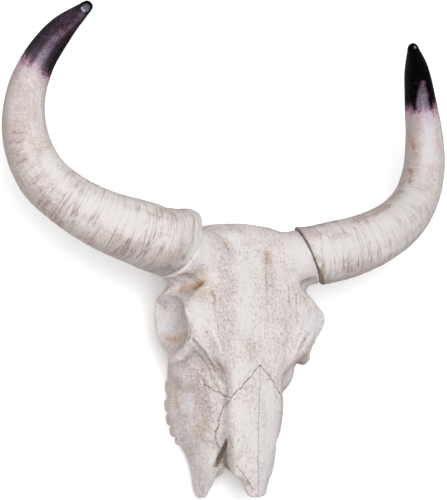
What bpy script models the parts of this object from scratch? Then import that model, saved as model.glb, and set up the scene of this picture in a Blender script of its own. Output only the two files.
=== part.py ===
"""Cow skull with its two horn sheaths, lying face up as it rests on a table.

Run it with blender --background --python part.py, or from Blender's text editor.

The bones are shaped in the skull's own frame, in millimetres: x to the animal's left, y from the
nose to the poll, z out of the face, with zero at the tips of the nasal bones. The whole mass is
built up from lofts, tubes and blobs, hollowed, and then parted along its sutures. At the end the
skull is tipped nose down until it rests on its cheek teeth and on the processes behind them.
"""

import math

import bmesh
import bpy
import numpy as np
from mathutils import Matrix, Vector

MM = 0.001

# Driving dimensions, in millimetres and degrees.
REST_TILT = 10.0  # the face slopes this much down to the nose when the skull rests
REST_DROP = 86.5  # height of the nasal tips above the floor
SUTURE = 0.7  # width of a suture between two bones
HORN_GAP = 0.4  # between a horn core's end and its sheath

# Fineness of the modelling clay and of the finished faces.
CLAY_VOXEL = 2.6
SKULL_FACES = 4160
RING_POINTS = 28

# Rim of the left eye socket: (x, y, z, radius) along its edge, from the brow backwards and down.
EYE_RIM = [
    (89, 208, 14, 6),
    (93, 223, 11, 5.5),
    (87, 242, -11, 5),
    (97, 252, -31, 4.5),
    (102, 246, -50, 4.2),
    (101, 235, -58, 4.2),
    (100, 219, -61, 4.2),
    (97, 201, -60, 4.5),
    (87, 179, -49, 6),
    (90, 169, -33, 6.2),
    (84, 178, -15, 6.2),
    (82, 193, 2, 6.2),
]

# Horn sheaths, each as (x, y, z, radius) along its axis with x outwards: no two horns are alike.
HORN_LEFT = [
    (56, 299, -21, 38),
    (101, 302.5, -10, 39.3),
    (146, 313, -2, 39),
    (189, 329, 1, 36.2),
    (230, 353, -5, 33.7),
    (262, 385, -13, 30.9),
    (281, 428, -17, 28.7),
    (282, 473, -12, 25.9),
    (270, 516, 2, 21.9),
    (252, 552, 24, 17),
    (226.5, 571.5, 56, 7.6),
]
HORN_RIGHT = [
    (56, 307, -22, 44),
    (100, 309, -8, 43.3),
    (145, 318, 0, 40.6),
    (190, 331, 1, 36.6),
    (230, 353, -6, 33.4),
    (263, 384, -14, 31.3),
    (281, 427, -18, 28.2),
    (284, 474, -12, 24.5),
    (272.8, 516.4, 1, 20.8),
    (252.2, 551.8, 24, 16.6),
    (229, 575, 56, 7.4),
]
HORN_SIDES = 18
HORN_RINGS = 23
HORN_RIM_POINT = (89.5, 303.5, -9)  # where a sheath ends on the bony core
HORN_RIM_NORMAL = (0.86, 0.38, 0.34)
CORE_RADIUS = 36.5

# Cheek teeth, front to back: length of each crown along the jaw.
TOOTH_LENGTHS = [11, 14, 16, 20, 24, 25]
TOOTH_START = 68.0
TOOTH_WIDTH = 21.0
TOOTH_ROW_BULGE = (107.0, 63.5, 13.0)  # where the row is widest, how wide, how far its ends turn in
TOOTH_ROOT = -84.0

BONE = {"color": (0.80, 0.76, 0.70, 1.0), "roughness": 0.7}
HORN = {"color": (0.74, 0.69, 0.63, 1.0), "roughness": 0.55}


# ---------------------------------------------------------------- small tools


def clear_scene():
    for obj in list(bpy.data.objects):
        bpy.data.objects.remove(obj)


def material(name, color, roughness):
    made = bpy.data.materials.new(name)
    made.use_nodes = True
    shader = made.node_tree.nodes["Principled BSDF"]
    shader.inputs["Base Color"].default_value = color
    shader.inputs["Roughness"].default_value = roughness
    shader.inputs["Metallic"].default_value = 0.0
    made.diffuse_color = color
    return made


def face_outwards(bm):
    bm.normal_update()
    bmesh.ops.recalc_face_normals(bm, faces=bm.faces)
    if bm.calc_volume(signed=True) < 0:
        bmesh.ops.reverse_faces(bm, faces=bm.faces)


def add_object(name, bm):
    mesh = bpy.data.meshes.new(name)
    face_outwards(bm)
    bm.to_mesh(mesh)
    bm.free()
    obj = bpy.data.objects.new(name, mesh)
    bpy.context.scene.collection.objects.link(obj)
    return obj


def smooth_between(points, count):
    """Points evenly spread by parameter on a Catmull-Rom curve through the given ones."""
    p = np.asarray(points, float)
    p = np.vstack([2 * p[0] - p[1], p, 2 * p[-1] - p[-2]])
    found = []
    for t in np.linspace(0, len(p) - 3 - 1e-9, count):
        i, u = int(t), t - int(t)
        a, b, c, d = p[i : i + 4]
        square = 2 * a - 5 * b + 4 * c - d
        cube = 3 * b - a - 3 * c + d
        found.append(0.5 * (2 * b + (c - a) * u + square * u**2 + cube * u**3))
    return np.array(found)


def skin_rings(rings):
    """A closed mesh over a row of rings that have equally many points each."""
    bm = bmesh.new()
    loops = [[bm.verts.new(Vector(p) * MM) for p in ring] for ring in rings]
    count = len(loops[0])
    for near, far in zip(loops, loops[1:]):
        for i in range(count):
            j = (i + 1) % count
            bm.faces.new((near[i], near[j], far[j], far[i]))
    bm.faces.new(loops[0][::-1])
    bm.faces.new(loops[-1])
    bmesh.ops.triangulate(bm, faces=[f for f in bm.faces if len(f.verts) > 4])
    return bm


def squircle(count, power):
    """Unit ring points (across, up): power 2 is a circle, and more is squarer."""
    turns = np.linspace(0, 2 * math.pi, count, endpoint=False)
    c, s = np.cos(turns), np.sin(turns)
    return np.sign(c) * np.abs(c) ** (2 / power), np.sign(s) * np.abs(s) ** (2 / power)


def loft(stations, power=2.6, steps=4):
    """A block across the midline. A station is (y, half width above, half width below, top, bottom)."""
    across, up = squircle(RING_POINTS, power)
    rings = []
    for y, wide_top, wide_low, top, low in smooth_between(stations, steps * len(stations)):
        width = wide_low + (wide_top - wide_low) * (up + 1) / 2
        z = (top + low) / 2 + up * (top - low) / 2
        rings.append(np.column_stack([across * width, np.full(RING_POINTS, y), z]))
    return skin_rings(rings)


def roof(stations, power=2.4, steps=4):
    """An arched plate across the midline. A station is (y, half width, ridge, edge, depth under it)."""
    across, up = squircle(RING_POINTS, power)
    rings = []
    for y, wide, ridge, edge, depth in smooth_between(stations, steps * len(stations)):
        z = edge + np.where(up > 0, up * (ridge - edge), up * depth)
        rings.append(np.column_stack([across * wide, np.full(RING_POINTS, y), z]))
    return skin_rings(rings)


def frames_along(path):
    """Tangent, side and up directions that don't twist along a path."""
    tangents = np.gradient(path, axis=0)
    tangents /= np.linalg.norm(tangents, axis=1)[:, None]
    side = np.cross(tangents[0], (0, 0, 1))
    if np.linalg.norm(side) < 0.1:
        side = np.cross(tangents[0], (0, 1, 0))
    frames = []
    for t in tangents:
        side = side - t * (side @ t)
        side /= np.linalg.norm(side)
        frames.append((t, side, np.cross(side, t)))
    return frames


def tube(path, radii, flatten=(1.0, 1.0), lean=0.0, sides=16, rings=18):
    """A round-ended tube along a curve. Flatten squeezes its section, which leans by some degrees."""
    line = smooth_between([(*p, r) for p, r in zip(path, radii)], rings)
    points, sizes = line[:, :3], line[:, 3]
    turns = np.linspace(0, 2 * math.pi, sides, endpoint=False)
    c, s = math.cos(math.radians(lean)), math.sin(math.radians(lean))
    frames = frames_along(points)
    made = []
    for at, size, (t, side, up) in zip(points, sizes, frames):
        first, second = side * c + up * s, up * c - side * s
        ring = np.outer(np.cos(turns) * flatten[0], first) + np.outer(np.sin(turns) * flatten[1], second)
        made.append(at + size * ring)
    start, end = made[0], made[-1]
    made.insert(0, points[0] + (start - points[0]) * 0.6 - frames[0][0] * sizes[0] * 0.7)
    made.append(points[-1] + (end - points[-1]) * 0.6 + frames[-1][0] * sizes[-1] * 0.7)
    return skin_rings(made)


def hoop(stations, sides=12):
    """A closed ring of round section through the given points, each with its own radius."""
    around = [stations[-1], *stations, stations[0], stations[1]]
    line = smooth_between(around, 8 * (len(stations) + 2) + 1)[8 : 8 + 8 * len(stations)]
    points, sizes = line[:, :3], line[:, 3]
    bm = bmesh.new()
    turns = np.linspace(0, 2 * math.pi, sides, endpoint=False)
    middle = points.mean(axis=0)
    loops = []
    for i, at in enumerate(points):
        t = points[(i + 1) % len(points)] - points[i - 1]
        t /= np.linalg.norm(t)
        out = at - middle
        out -= t * (out @ t)
        out /= np.linalg.norm(out)
        up = np.cross(t, out)
        ring = at + sizes[i] * (np.outer(np.cos(turns), out) + np.outer(np.sin(turns), up))
        loops.append([bm.verts.new(Vector(p) * MM) for p in ring])
    for near, far in zip(loops, loops[1:] + loops[:1]):
        for i in range(sides):
            j = (i + 1) % sides
            bm.faces.new((near[i], near[j], far[j], far[i]))
    return bm


def blob(centre, radii):
    """An ellipsoid."""
    bm = bmesh.new()
    bmesh.ops.create_icosphere(bm, subdivisions=3, radius=1.0)
    scale = Matrix.Diagonal((*(r * MM for r in radii), 1))
    bm.transform(Matrix.Translation(Vector(centre) * MM) @ scale)
    return bm


def mirrored(point, side):
    return (point[0] * side, point[1], point[2])


def joined(name, blocks):
    """One object that holds every block, as overlapping closed bodies."""
    bm = bmesh.new()
    for block in blocks:
        face_outwards(block)
        part = bpy.data.meshes.new("block")
        block.to_mesh(part)
        block.free()
        bm.from_mesh(part)
        bpy.data.meshes.remove(part)
    mesh = bpy.data.meshes.new(name)
    bm.to_mesh(mesh)
    bm.free()
    obj = bpy.data.objects.new(name, mesh)
    bpy.context.scene.collection.objects.link(obj)
    return obj


def apply_modifier(obj, kind, **settings):
    modifier = obj.modifiers.new(kind.title(), kind)
    for key, value in settings.items():
        setattr(modifier, key, value)
    graph = bpy.context.evaluated_depsgraph_get()
    made = bpy.data.meshes.new_from_object(obj.evaluated_get(graph))
    obj.modifiers.clear()
    old = obj.data
    obj.data = made
    bpy.data.meshes.remove(old)


def knead(obj, voxel, passes):
    """Fuses what overlaps into one skin, and rounds it."""
    apply_modifier(obj, "REMESH", mode="VOXEL", voxel_size=voxel * MM, adaptivity=0.0)
    apply_modifier(obj, "SMOOTH", factor=0.5, iterations=passes)


def boolean(obj, other, operation, solver="EXACT"):
    apply_modifier(obj, "BOOLEAN", operation=operation, object=other, solver=solver)


def carve(obj, cutters):
    for cutter in cutters:
        other = add_object("cutter", cutter)
        boolean(obj, other, "DIFFERENCE")
        bpy.data.objects.remove(other)


def keep_largest(obj):
    """Drops crumbs that are not joined to the main body."""
    bm = bmesh.new()
    bm.from_mesh(obj.data)
    unseen = set(bm.verts)
    islands = []
    while unseen:
        stack = [unseen.pop()]
        island = set(stack)
        while stack:
            for edge in stack.pop().link_edges:
                for vert in edge.verts:
                    if vert in unseen:
                        unseen.discard(vert)
                        island.add(vert)
                        stack.append(vert)
        islands.append(island)
    islands.sort(key=len)
    for island in islands[:-1]:
        bmesh.ops.delete(bm, geom=list(island), context="VERTS")
    bm.to_mesh(obj.data)
    bm.free()


# ------------------------------------------------------------ masses of bone


def face_blocks():
    """Muzzle and cheeks, the roof of the nose, the turbinates in it and the prongs of the premaxilla."""
    muzzle = loft(
        [
            (27, 28, 46, -54, -87),
            (40, 31, 56, -42, -91),
            (50, 33, 61, -31, -94),
            (62, 35, 70, -15, -97),
            (76, 38, 79, -9, -99),
            (90, 41, 86, -6, -101),
            (110, 43, 91, -2, -103),
            (130, 41.5, 91, 1, -104),
            (150, 47, 88, 2, -105),
            (170, 70, 82, 2, -106),
            (190, 74, 76, 0, -106),
            (212, 72, 64, 0, -104),
            (236, 66, 46, 0, -98),
        ],
        power=4.0,
    )
    nose = roof(
        [
            (-1.5, 10, -2, -7, 3),
            (4, 13, 0, -9, 4),
            (14, 16, 1.5, -11, 5),
            (27, 20.5, 3, -12, 6),
            (45, 26.5, 4.5, -13, 7),
            (61, 32, 6, -13, 9),
            (76, 35, 8, -11, 12),
            (92, 37, 10, -7, 16),
            (110, 38, 13, -2, 18),
            (130, 36, 16, 4, 20),
            (150, 30, 19, 9, 20),
            (168, 16, 20, 13, 14),
        ]
    )
    prong = [(42.5, 10, -71), (42, 18, -70.5), (42, 30, -66.5), (43, 43, -61.5), (44, 62, -59.5)]
    turbinate = [(23, -6), (36, -38), (44, -62), (80, -66), (80, -6)]
    blocks = [muzzle, nose]
    for side in (-1, 1):
        path = [mirrored(p, side) for p in prong]
        blocks.append(tube(path, [14, 17, 21, 25.5, 29], flatten=(0.46, 1.0), lean=20 * side))
        blocks.append(prism(turbinate, *sorted((19 * side, 27 * side)), axis="x"))
    return blocks


def forehead_blocks():
    """Broad frontal bone, from between the eyes to the poll."""
    plate = roof(
        [
            (126, 33, 14, -2, 30),
            (150, 41, 19, 2, 40),
            (170, 64, 21, 3, 44),
            (190, 82, 22, 8, 46),
            (205, 91, 22, 12, 46),
            (220, 93, 21, 12, 46),
            (236, 88, 19, 6, 46),
            (250, 80, 16, 0, 48),
            (264, 80, 12, -6, 54),
            (290, 78, 8, -10, 58),
            (312, 76, 4, -14, 58),
            (327, 64, -1, -22, 52),
            (338, 46, -12, -28, 36),
        ],
        power=3.2,
    )
    return [plate]


def braincase_blocks():
    """Rounded case behind the eyes, the nuchal face and the base of the skull."""
    ridge = [(-84, 304, -44), (-54, 322, -26), (0, 328, -18), (54, 322, -26), (84, 304, -44)]
    blocks = [
        blob((0, 270, -60), (66, 64, 56)),
        blob((0, 308, -58), (84, 26, 54)),
        tube(ridge, [12, 13, 13, 13, 12]),
        tube([(0, 334, -112), (0, 280, -104), (0, 214, -88)], [19, 21, 24], flatten=(1.35, 0.75)),
    ]
    for side in (-1, 1):
        process = [(56, 310, -84), (54, 312, -118), (50, 309, -158)]
        blocks += [
            blob(mirrored((23, 330, -117), side), (17, 20, 21)),
            tube([mirrored(p, side) for p in process], [20, 13, 9]),
            blob(mirrored((44, 284, -108), side), (15, 19, 20)),
            blob(mirrored((23, 222, -98), side), (9, 32, 20)),
            blob(mirrored((65, 287, -70), side), (20, 24, 26)),
            blob(mirrored((77, 262, -34), side), (18, 18, 24)),
        ]
    return blocks


def eye_blocks():
    """Rim of each eye socket, its brow, the cheek below it and the arch behind it."""
    blocks = []
    for side in (-1, 1):
        arch = [(72, 152, -56), (76, 170, -58), (84, 196, -62), (93, 222, -66), (90, 246, -64)]
        arch += [(74, 264, -61), (68, 282, -66)]
        bar = [(84, 238, 0), (88, 247, -22), (94, 245, -56)]
        blocks += [
            hoop([(x * side, y, z, radius) for x, y, z, radius in EYE_RIM]),
            blob(mirrored((75, 212, -27), side), (27, 42, 41)),
            blob(mirrored((78, 217, 6), side), (17, 24, 13)),
            blob(mirrored((62, 165, -50), side), (18, 34, 30)),
            tube([mirrored(p, side) for p in arch], [12, 12, 9, 8, 9, 11, 14], flatten=(0.8, 1.1)),
            tube([mirrored(p, side) for p in bar], [7, 7, 7]),
        ]
    return blocks


def horn_core_blocks():
    """Short necks of bone that carry the horn sheaths."""
    blocks = []
    for side in (-1, 1):
        neck = [(40, 292, -28), (66, 295, -21), (90, 301, -14), (122, 306, -7)]
        path = [mirrored(p, side) for p in neck]
        blocks.append(tube(path, [40, 38.5, CORE_RADIUS, 35], sides=24, rings=12))
    return blocks


def hollows():
    """Cutters for the nose, the palate, the eye sockets, the temples and the spinal opening."""
    mouth = [(4, 27, 27, -50, -130), (18, 23, 23, -52, -130), (29, 17, 17, -55, -125), (38, 8, 8, -64, -115)]
    nose = [(16, 15, 20, -14, -71), (60, 15, 20, -15, -70), (112, 12, 15, -24, -60)]
    cutters = [
        tube([(0, -40, -69), (0, -10, -58), (0, 18, -47)], [34, 32, 30]),
        loft(nose, power=2.8),
        loft(mouth),
        tube([(0, 66, -112), (0, 120, -116), (0, 205, -120)], [22, 27, 25], flatten=(1.5, 1.0)),
        blob((0, 216, -104), (15, 26, 30)),
        tube([(0, 380, -104), (0, 316, -100)], [17, 15]),
    ]
    for side in (-1, 1):
        cutters += [
            blob(mirrored((104, 212, -23), side), (29, 38, 35)),
            blob(mirrored((91, 259, 6), side), (23, 12, 17)),
            blob(mirrored((112, 263, -38), side), (20, 13, 17)),
            blob(mirrored((84, 256, -84), side), (24, 24, 13)),
        ]
    return cutters


def tooth_blocks():
    """The left row of cheek teeth, its crowns long enough to reach the floor."""
    blocks = []
    across, along = squircle(12, 3.4)
    widest, half_width, turned_in = TOOTH_ROW_BULGE
    y = TOOTH_START
    for length in TOOTH_LENGTHS:
        middle = y + length / 2
        reach = 38 if middle < widest else 60
        spread = half_width - turned_in * ((middle - widest) / reach) ** 2
        rings = []
        for z, grow in ((TOOTH_ROOT, 0.9), (-98, 1.0), (-135, 0.92)):
            x = spread + across * TOOTH_WIDTH / 2 * grow
            rings.append(np.column_stack([x, middle + along * (length - 1.2) / 2 * grow, np.full(12, z)]))
        blocks.append(skin_rings(rings))
        y += length
    return blocks


def horn_sheath(stations, side):
    """A curved cone of round section with a rounded tip."""
    line = smooth_between(stations, HORN_RINGS)
    points, sizes = line[:, :3] * (side, 1, 1), line[:, 3]
    turns = np.linspace(0, 2 * math.pi, HORN_SIDES, endpoint=False)
    rings = []
    for at, size, (_, across, up) in zip(points, sizes, frames_along(points)):
        rings.append(at + size * (np.outer(np.cos(turns), across) + np.outer(np.sin(turns), up)))
    tip = points[-1] - points[-2]
    tip /= np.linalg.norm(tip)
    blunt = rings[-1] - points[-1]
    for turn in (35, 65):
        c, s = math.cos(math.radians(turn)), math.sin(math.radians(turn))
        rings.append(points[-1] + blunt * c + tip * sizes[-1] * s)
    return skin_rings(rings)


# ------------------------------------------------------------- parting the skull


def half_space(point, normal, size=160.0):
    """A cube whose one side lies at the point and which fills the space that the normal points into."""
    bm = bmesh.new()
    bmesh.ops.create_cube(bm, size=size * MM)
    turn = Vector((0, 0, 1)).rotation_difference(Vector(normal)).to_matrix().to_4x4()
    place = Matrix.Translation(Vector(point) * MM) @ turn @ Matrix.Translation((0, 0, size / 2 * MM))
    bm.transform(place)
    return bm


def prism(outline, low, high, axis="z"):
    """A closed cutter. Its outline is (x, y) and is pushed along z, or (y, z) and pushed along x."""
    if axis == "z":
        rings = [[(a, b, h) for a, b in outline] for h in (low, high)]
    else:
        rings = [[(h, a, b) for a, b in outline] for h in (low, high)]
    return skin_rings(rings)


def grown(outline, by):
    """The outline with every edge moved outwards by the same distance."""
    p = np.asarray(outline, float)
    before, after = p - np.roll(p, 1, axis=0), np.roll(p, -1, axis=0) - p
    area = np.sum(p[:, 0] * np.roll(p[:, 1], -1) - np.roll(p[:, 0], -1) * p[:, 1])
    turn = 1 if area > 0 else -1
    first = np.column_stack([before[:, 1], -before[:, 0]]) * turn
    second = np.column_stack([after[:, 1], -after[:, 0]]) * turn
    first /= np.linalg.norm(first, axis=1)[:, None]
    second /= np.linalg.norm(second, axis=1)[:, None]
    middle = first + second
    return p + by * middle / np.sum(middle * first, axis=1)[:, None]


def copy_of(obj, name):
    twin = bpy.data.objects.new(name, obj.data.copy())
    bpy.context.scene.collection.objects.link(twin)
    return twin


def part_off(whole, name, prisms, solver="EXACT"):
    """Takes the bone inside some prisms out of the whole, with a suture's width all round it."""
    bone = copy_of(whole, name)
    inner = add_object("cutter", prism(*prisms[0]))
    for shape in prisms[1:]:
        other = add_object("cutter", prism(*shape))
        boolean(inner, other, "UNION")
        bpy.data.objects.remove(other)
    boolean(bone, inner, "INTERSECT", solver)
    bpy.data.objects.remove(inner)
    for outline, low, high, axis in prisms:
        carve(whole, [prism(grown(outline, SUTURE), low - SUTURE, high + SUTURE, axis)])
    return bone


def nasal_prisms():
    outline = [(34, 120), (39.5, 105), (42, 82), (41, 61), (41, -20), (SUTURE / 2, -20), (SUTURE / 2, 157.6)]
    return [(outline, -27, 60, "z")]


def premaxilla_prisms():
    outline = [(-30, -26), (60, -26), (53, -50), (45, -120), (-30, -120)]
    return [(outline, SUTURE / 2, 150, "x")]


def frontal_prisms():
    top = [(-4.5, 163.5), (34.5, 120.5), (52, 137), (59, 152), (69, 174), (80, 191), (150, 193), (150, 300)]
    deep = [(191, 60), (191, -44), (262, -57), (310, -56), (332, -47), (352, -34), (420, -34), (420, 60)]
    return [([*top, (-4.5, 300)], -30, 60, "z"), (deep, -10, 200, "x")]


def zygomatic_prisms():
    cheek = [(141, 30), (141, 0), (150, -40), (170, -78), (200, -86), (200, 30)]
    arch = [(198, 30), (198, -86), (257, -84), (257, 30)]
    return [(cheek, 52, 150, "x"), (arch, 72, 150, "x")]


def maxilla_prisms():
    return [([(SUTURE / 2, -60), (160, -60), (160, 186), (SUTURE / 2, 186)], -200, 60, "z")]


def mirror_twin(obj, name):
    twin = copy_of(obj, name)
    bm = bmesh.new()
    bm.from_mesh(twin.data)
    bm.transform(Matrix.Scale(-1, 4, (1, 0, 0)))
    bmesh.ops.reverse_faces(bm, faces=bm.faces)
    bm.to_mesh(twin.data)
    bm.free()
    return twin


def complete(obj):
    """Mirrors a half bone that ends on the midline, and welds the halves."""
    bm = bmesh.new()
    bm.from_mesh(obj.data)
    flat = [f for f in bm.faces if all(abs(v.co.x) < 1e-7 for v in f.verts)]
    bmesh.ops.delete(bm, geom=flat, context="FACES")
    for vert in bm.verts:
        if abs(vert.co.x) < 1e-7:
            vert.co.x = 0.0
    other = bmesh.ops.duplicate(bm, geom=[*bm.verts, *bm.edges, *bm.faces])["geom"]
    verts = [g for g in other if isinstance(g, bmesh.types.BMVert)]
    faces = [g for g in other if isinstance(g, bmesh.types.BMFace)]
    for vert in verts:
        vert.co.x = -vert.co.x
    bmesh.ops.reverse_faces(bm, faces=faces)
    middle = [v for v in bm.verts if v.co.x == 0.0]
    bmesh.ops.remove_doubles(bm, verts=middle, dist=1e-6)
    bm.to_mesh(obj.data)
    bm.free()


def finish(obj, made_of, root):
    obj.data.materials.clear()
    obj.data.materials.append(made_of)
    bm = bmesh.new()
    bm.from_mesh(obj.data)
    bmesh.ops.remove_doubles(bm, verts=bm.verts, dist=1e-5)
    bmesh.ops.dissolve_degenerate(bm, edges=bm.edges, dist=1e-5)
    bmesh.ops.triangulate(bm, faces=bm.faces)
    bm.to_mesh(obj.data)
    bm.free()
    obj.data.shade_smooth()
    obj.data.set_sharp_from_angle(angle=math.radians(50))
    obj.parent = root


def model_whole():
    """The skull in one piece, without its teeth and sheaths."""
    blocks = face_blocks() + forehead_blocks() + braincase_blocks() + eye_blocks() + horn_core_blocks()
    whole = joined("occiput", blocks)
    knead(whole, CLAY_VOXEL, 6)
    carve(whole, hollows())
    knead(whole, CLAY_VOXEL, 4)
    keep_largest(whole)
    apply_modifier(whole, "DECIMATE", ratio=SKULL_FACES / (2 * len(whole.data.polygons)))
    return whole


def part_bones(whole):
    """Halves the skull, adds the teeth, levels it on the floor and parts the left bones."""
    carve(whole, [half_space((0, 200, -40), (-1, 0, 0), 900)])
    for block in tooth_blocks():
        tooth = add_object("tooth", block)
        boolean(whole, tooth, "UNION")
        bpy.data.objects.remove(tooth)
    tilt = math.radians(REST_TILT)
    floor = (0, 150, -(REST_DROP + 150 * math.sin(tilt)) / math.cos(tilt))
    down = (0, -math.sin(tilt), -math.cos(tilt))
    carve(whole, [half_space(floor, down, 900)])
    keep_largest(whole)
    pairs = {
        "nasal": part_off(whole, "nasal_left", nasal_prisms()),
        "premaxilla": part_off(whole, "premaxilla_left", premaxilla_prisms(), "MANIFOLD"),
    }
    frontal = part_off(whole, "frontal", frontal_prisms())
    pairs["zygomatic"] = part_off(whole, "zygomatic_left", zygomatic_prisms())
    pairs["maxilla"] = part_off(whole, "maxilla_left", maxilla_prisms())
    return pairs, frontal


def build():
    clear_scene()
    bone = material("bone", **BONE)
    horn = material("horn", **HORN)
    root = bpy.data.objects.new("skull", None)
    bpy.context.scene.collection.objects.link(root)

    occiput = model_whole()
    pairs, frontal = part_bones(occiput)
    for middle in (occiput, frontal):
        keep_largest(middle)
        complete(middle)
    for name, stations, side in (("horn_left", HORN_LEFT, 1), ("horn_right", HORN_RIGHT, -1)):
        rim = Vector(mirrored(HORN_RIM_POINT, side))
        outward = Vector(mirrored(HORN_RIM_NORMAL, side)).normalized()
        carve(frontal, [half_space(rim - outward * HORN_GAP, outward)])
        sheath = add_object(name, horn_sheath(stations, side))
        carve(sheath, [half_space(rim, -outward)])
        finish(sheath, horn, root)
    keep_largest(frontal)

    for middle in (occiput, frontal):
        finish(middle, bone, root)
    for kind, left in pairs.items():
        keep_largest(left)
        finish(left, bone, root)
        finish(mirror_twin(left, kind + "_right"), bone, root)

    root.rotation_euler = (math.radians(REST_TILT), 0, 0)
    root.location = (0, 0, REST_DROP * MM)
    bpy.context.view_layer.update()
    ends = [(o.matrix_world @ v.co).y for o in root.children for v in o.data.vertices]
    root.location.y = -(min(ends) + max(ends)) / 2
    bpy.context.view_layer.update()


if __name__ == "__main__":
    build()
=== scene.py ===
import math
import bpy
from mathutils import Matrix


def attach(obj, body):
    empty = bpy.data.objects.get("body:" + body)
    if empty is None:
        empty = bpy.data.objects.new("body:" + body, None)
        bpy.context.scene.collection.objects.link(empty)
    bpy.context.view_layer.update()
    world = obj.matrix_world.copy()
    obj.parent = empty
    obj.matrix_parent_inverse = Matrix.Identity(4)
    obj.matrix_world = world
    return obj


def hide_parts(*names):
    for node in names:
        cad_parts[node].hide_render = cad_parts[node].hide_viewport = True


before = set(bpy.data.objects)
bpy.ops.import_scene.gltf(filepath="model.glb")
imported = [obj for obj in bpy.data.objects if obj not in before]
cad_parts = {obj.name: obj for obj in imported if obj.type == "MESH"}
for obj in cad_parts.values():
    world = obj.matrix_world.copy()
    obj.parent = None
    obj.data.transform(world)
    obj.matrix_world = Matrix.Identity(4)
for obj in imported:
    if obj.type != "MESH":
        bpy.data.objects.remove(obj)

from types import SimpleNamespace

import bpy
import numpy as np
from mathutils import Matrix, Vector
from mathutils.bvhtree import BVHTree

bl_info = {
    "name": "Cow skull",
    "version": (1, 0, 0),
    "blender": (4, 5, 0),
    "location": "3D View > Sidebar > Skull",
    "description": "Dresses the bones and horn sheaths of a weathered cow skull",
    "category": "Object",
}

MM = 0.001
FAR = 1e9

# The faces of each kind of bone, as a share of the step in the settings.
STEP_SHARE = {
    "frontal": 0.83,
    "occiput": 0.9,
    "maxilla": 0.72,
    "zygomatic": 0.72,
    "nasal": 0.6,
    "premaxilla": 0.65,
}

# The face frame: millimetres, x to the animal's left, y from nose to poll, z out of the face.
FACE_TILT = math.radians(10.0)
FACE_ORIGIN = Vector((0.0, -282.084, 86.5))

PAIRED = ("maxilla", "nasal", "premaxilla", "zygomatic")
BONES = ["frontal", "occiput"] + [f"{name}_{side}" for name in PAIRED for side in ("left", "right")]

# Sutures that still show as a thin crack, and how much of it is closed.
# All others have grown together.
OPEN_SUTURES = [
    ({"nasal_left", "nasal_right"}, 0.49),
    ({"nasal_left", "frontal"}, 0.36),
    ({"nasal_right", "frontal"}, 0.36),
    ({"nasal_left", "maxilla_left"}, 0.49),
    ({"nasal_right", "maxilla_right"}, 0.49),
    ({"frontal", "maxilla_left"}, 0.42),
    ({"frontal", "maxilla_right"}, 0.42),
]

# Axes of the sheaths: (x, y, z, radius), x outwards, from the skull to the tip.
HORN_AXES = {
    "horn_left": [
        (56, 299, -21, 38), (101, 302.5, -10, 39.3), (146, 313, -2, 39), (189, 329, 1, 36.2),
        (230, 353, -5, 33.7), (262, 385, -13, 30.9), (281, 428, -17, 28.7), (282, 473, -12, 25.9),
        (270, 516, 2, 21.9), (252, 552, 24, 17), (226.5, 571.5, 56, 7.6),
    ],
    "horn_right": [
        (56, 307, -22, 44), (100, 309, -8, 43.3), (145, 318, 0, 40.6), (190, 331, 1, 36.6),
        (230, 353, -6, 33.4), (263, 384, -14, 31.3), (281, 427, -18, 28.2), (284, 474, -12, 24.5),
        (272.8, 516.4, 1, 20.8), (252.2, 551.8, 24, 16.6), (229, 575, 56, 7.4),
    ],
}
HORN_RIM_POINT = (89.5, 303.5, -9)
HORN_RIM_NORMAL = (0.86, 0.38, 0.34)
# Where the bone swells up to meet the right sheath.
HORN_APRON = [(-70, 322, 22), (-76, 306, 28), (-84, 285, 24), (-94, 270, 12)]
# The side of the sheaths that lies open to wear.
WORN_SIDE = (-0.439, -0.174, 0.881)

# Distances in metres, and counts of smoothing passes.
MERGE_DISTANCE = 1e-5
GUIDE_SWELL = 0.5 * MM
GUIDE_SMOOTHING = 10
HOLLOW_SMOOTHING = 30
CREVICE_SMOOTHING = 8
SHEATH_SMOOTHING = 2

# The sutures: how far the next bone may lie, the widest gap that is closed, and how much of it is
# closed where bones have grown together.
SUTURE_REACH = 1.2 * MM
SUTURE_WIDTH = 1.1 * MM
GROWN_TOGETHER = 1.5

# From here on in millimetres: how far a suture is felt, and how it wanders.
SEAM_REACH = 12.0
SUTURE_SWAY = (1.4, 1.4, 0.6)

# The wall of the right eye socket is cut back under the brow.
SOCKET_CREST = [(-97, 232, 2), (-98, 222, 8), (-96, 211, 13), (-93, 201, 11), (-91, 192, 3)]
SOCKET_INSET = 4.0
SOCKET_INWARD = (0.85, 0.0, -0.5)

APRON_HEIGHT = 1.0
PORE_DEPTH = 0.5

# Layers of noise on the bones: height, lump size, seed.
BONE_WAVES = [(0.2, 14, 1), (0.18, 6, 2), (0.14, 2.8, 3), (0.22, (2.6, 15, 2.6), 9)]
BONE_PORES = [(1.0, 3.0, 4), (0.5, 20, 5)]
BONE_RAGGED = [(0.5, 1.7, 7), (0.5, 3.6, 8), (0.4, 8, 10)]
SUTURE_DRIFT = [(1.0, 4.2, 31), (0.6, 1.9, 35)]
MARK_DRIFT = [(0.9, 5, 41), (0.6, 2.2, 45)]

# The sheaths: points along the axis, parts that the mesh is searched in, the radius for the
# coordinate around the sheath, and the rings: height, scale around and along, seed.
AXIS_POINTS = 600
AXIS_PARTS = 200
WRAP_RADIUS = 3.3
HORN_RINGS = [
    (0.45, (0.3, 0.3, 1 / 13), 11),
    (0.25, (0.3, 0.3, 1 / 4.5), 12),
    (0.14, (0.45, 0.45, 1 / 1.9), 13),
]
# Where the dark tip starts, as a share of the length, and how much earlier on one side.
TIP_START = {"horn_left": (0.791, 0.002), "horn_right": (0.792, 0.008)}

# What the noise is made from.
HASH_STEPS = (374761393, 668265263, 2147483647)
HASH_SEED_STEP = 144665
HASH_MIXER = 1274126177

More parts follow.
